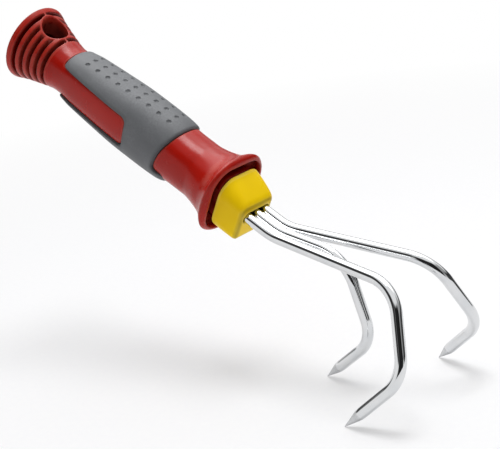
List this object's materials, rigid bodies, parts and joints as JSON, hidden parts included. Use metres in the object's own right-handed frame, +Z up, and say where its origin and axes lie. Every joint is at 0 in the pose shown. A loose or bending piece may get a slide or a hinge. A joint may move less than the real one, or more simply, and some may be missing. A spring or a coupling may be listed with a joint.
{
  "type": "hand cultivator",
  "caption": "Hand cultivator with a flared moulded handle, soft grip, hanging hole and bent round-bar tines that end in conical points.",
  "frame": {"origin": "on the ground under the middle of the bounding box, with the tool pitched into its working pose on its three points", "axes": "+X horizontal, from the hanging end of the handle towards the tines; +Y to the tool's left, across its plane of symmetry; +Z up"},
  "size_m": [0.2302, 0.0722, 0.1686],
  "materials": {
    "red_moulding": "smooth semi-gloss",
    "grey_soft_moulding": "satin, dimpled on top",
    "yellow_moulding": "smooth semi-gloss",
    "bright_steel": "polished bright plating"
  },
  "bodies": {
    "root": {"handle_body": "red_moulding", "grip_overmould": "grey_soft_moulding", "tine_holder": "yellow_moulding", "tine_left": "bright_steel", "tine_middle": "bright_steel", "tine_right": "bright_steel"}
  },
  "joints": []
}
